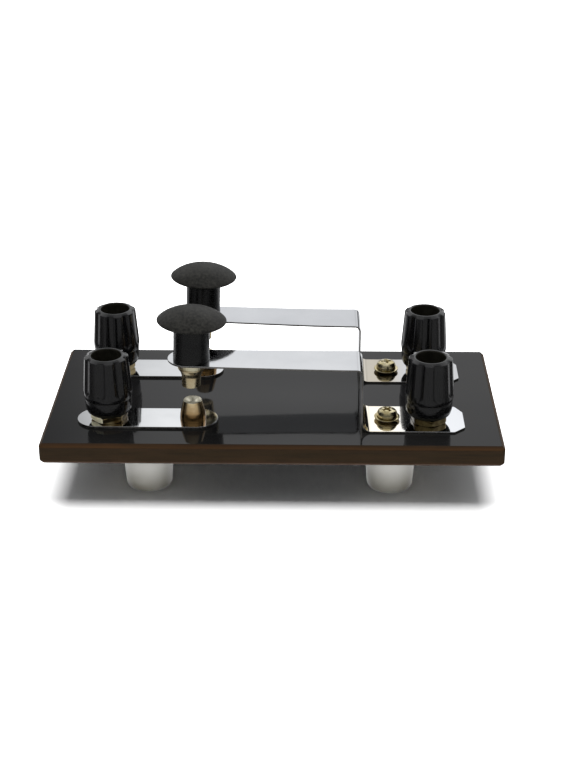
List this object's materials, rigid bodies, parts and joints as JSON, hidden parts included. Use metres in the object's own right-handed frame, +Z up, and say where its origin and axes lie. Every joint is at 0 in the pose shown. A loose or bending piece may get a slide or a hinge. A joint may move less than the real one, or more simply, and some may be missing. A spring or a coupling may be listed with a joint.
{
  "type": "telegraph key",
  "caption": "Sprung double tap key: knobs on flat spring arms press turned contacts together on an insulated board, with fluted screw terminals and moulded feet.",
  "frame": {"origin": "table level under the middle of the board", "axes": "+X from the knobs to the spring feet along the board, +Y from the front key to the rear key, +Z up"},
  "size_m": [0.15, 0.075, 0.0634],
  "materials": {
    "board_laminate": "glossy black phenolic laminate with brown machined edges",
    "foot_plastic": "milky white moulded plastic, satin",
    "nickel_strip": "bright nickel plate with faint drawing marks",
    "cap_plastic": "glossy black moulded plastic",
    "knob_plastic": "matte textured top, satin stem",
    "yellow_zinc": "yellow passivated steel",
    "nickel_washer": "dull nickel",
    "contact_brass": "turned brass, slightly aged",
    "terminal_brass": "turned brass"
  },
  "bodies": {
    "base": {"base_board": "board_laminate", "front_contact_plate": "nickel_strip", "rear_contact_plate": "nickel_strip", "front_fixed_contact": "contact_brass", "rear_fixed_contact": "contact_brass", "contact_screws": "yellow_zinc", "contact_washers": "nickel_washer", "front_spring_foot": "nickel_strip", "rear_spring_foot": "nickel_strip", "clamp_screws": "yellow_zinc", "clamp_washers": "yellow_zinc", "front_left_foot": "foot_plastic", "front_right_foot": "foot_plastic", "rear_left_foot": "foot_plastic", "rear_right_foot": "foot_plastic", "foot_screws": "yellow_zinc", "front_left_stud": "terminal_brass", "front_right_stud": "terminal_brass", "rear_left_stud": "terminal_brass", "rear_right_stud": "terminal_brass", "terminal_collars": "terminal_brass", "terminal_washers": "nickel_washer", "terminal_nuts": "terminal_brass"},
    "front_key": {"front_spring_arm": "nickel_strip", "front_knob": "knob_plastic", "front_knob_insert": "terminal_brass", "front_knob_stud": "yellow_zinc", "front_contact_nut": "contact_brass", "front_moving_contact": "contact_brass"},
    "rear_key": {"rear_spring_arm": "nickel_strip", "rear_knob": "knob_plastic", "rear_knob_insert": "terminal_brass", "rear_knob_stud": "yellow_zinc", "rear_contact_nut": "contact_brass", "rear_moving_contact": "contact_brass"},
    "front_left_ring": {"front_left_ring": "terminal_brass"},
    "front_left_cap": {"front_left_cap": "cap_plastic", "front_left_insert": "terminal_brass"},
    "front_right_ring": {"front_right_ring": "terminal_brass"},
    "front_right_cap": {"front_right_cap": "cap_plastic", "front_right_insert": "terminal_brass"},
    "rear_left_ring": {"rear_left_ring": "terminal_brass"},
    "rear_left_cap": {"rear_left_cap": "cap_plastic", "rear_left_insert": "terminal_brass"},
    "rear_right_ring": {"rear_right_ring": "terminal_brass"},
    "rear_right_cap": {"rear_right_cap": "cap_plastic", "rear_right_insert": "terminal_brass"}
  },
  "joints": [
    {"name": "front_key_press", "type": "hinge", "parent": "base", "child": "front_key", "pos_m": [0.0161, -0.0193, 0.04495], "axis": [0, -1, 0], "range_deg": [0, 6.65], "stiffness_Nm_per_rad": 0.3, "springref_deg": -0.86},
    {"name": "rear_key_press", "type": "hinge", "parent": "base", "child": "rear_key", "pos_m": [0.0163, 0.0193, 0.044], "axis": [0, -1, 0], "range_deg": [0, 6.5], "stiffness_Nm_per_rad": 0.3, "springref_deg": -0.86},
    {"name": "front_left_cap_lift", "type": "slide", "parent": "base", "child": "front_left_ring", "axis": [0, 0, 1], "range_m": [0, 0.003]},
    {"name": "front_left_cap_turn", "type": "hinge", "parent": "front_left_ring", "child": "front_left_cap", "pos_m": [-0.054, -0.0193, 0.0274], "axis": [0, 0, 1], "range_deg": [0, 1116]},
    {"name": "front_right_cap_lift", "type": "slide", "parent": "base", "child": "front_right_ring", "axis": [0, 0, 1], "range_m": [0, 0.003]},
    {"name": "front_right_cap_turn", "type": "hinge", "parent": "front_right_ring", "child": "front_right_cap", "pos_m": [0.0513, -0.0193, 0.0274], "axis": [0, 0, 1], "range_deg": [0, 1116]},
    {"name": "rear_left_cap_lift", "type": "slide", "parent": "base", "child": "rear_left_ring", "axis": [0, 0, 1], "range_m": [0, 0.003]},
    {"name": "rear_left_cap_turn", "type": "hinge", "parent": "rear_left_ring", "child": "rear_left_cap", "pos_m": [-0.0557, 0.0193, 0.0274], "axis": [0, 0, 1], "range_deg": [0, 1116]},
    {"name": "rear_right_cap_lift", "type": "slide", "parent": "base", "child": "rear_right_ring", "axis": [0, 0, 1], "range_m": [0, 0.003]},
    {"name": "rear_right_cap_turn", "type": "hinge", "parent": "rear_right_ring", "child": "rear_right_cap", "pos_m": [0.0519, 0.0193, 0.0274], "axis": [0, 0, 1], "range_deg": [0, 1116]}
  ],
  "couplings": [
    {"joint": "front_left_cap_turn", "follows": "front_left_cap_lift", "rad_per_m": 6283.2},
    {"joint": "front_right_cap_turn", "follows": "front_right_cap_lift", "rad_per_m": 6283.2},
    {"joint": "rear_left_cap_turn", "follows": "rear_left_cap_lift", "rad_per_m": 6283.2},
    {"joint": "rear_right_cap_turn", "follows": "rear_right_cap_lift", "rad_per_m": 6283.2}
  ]
}
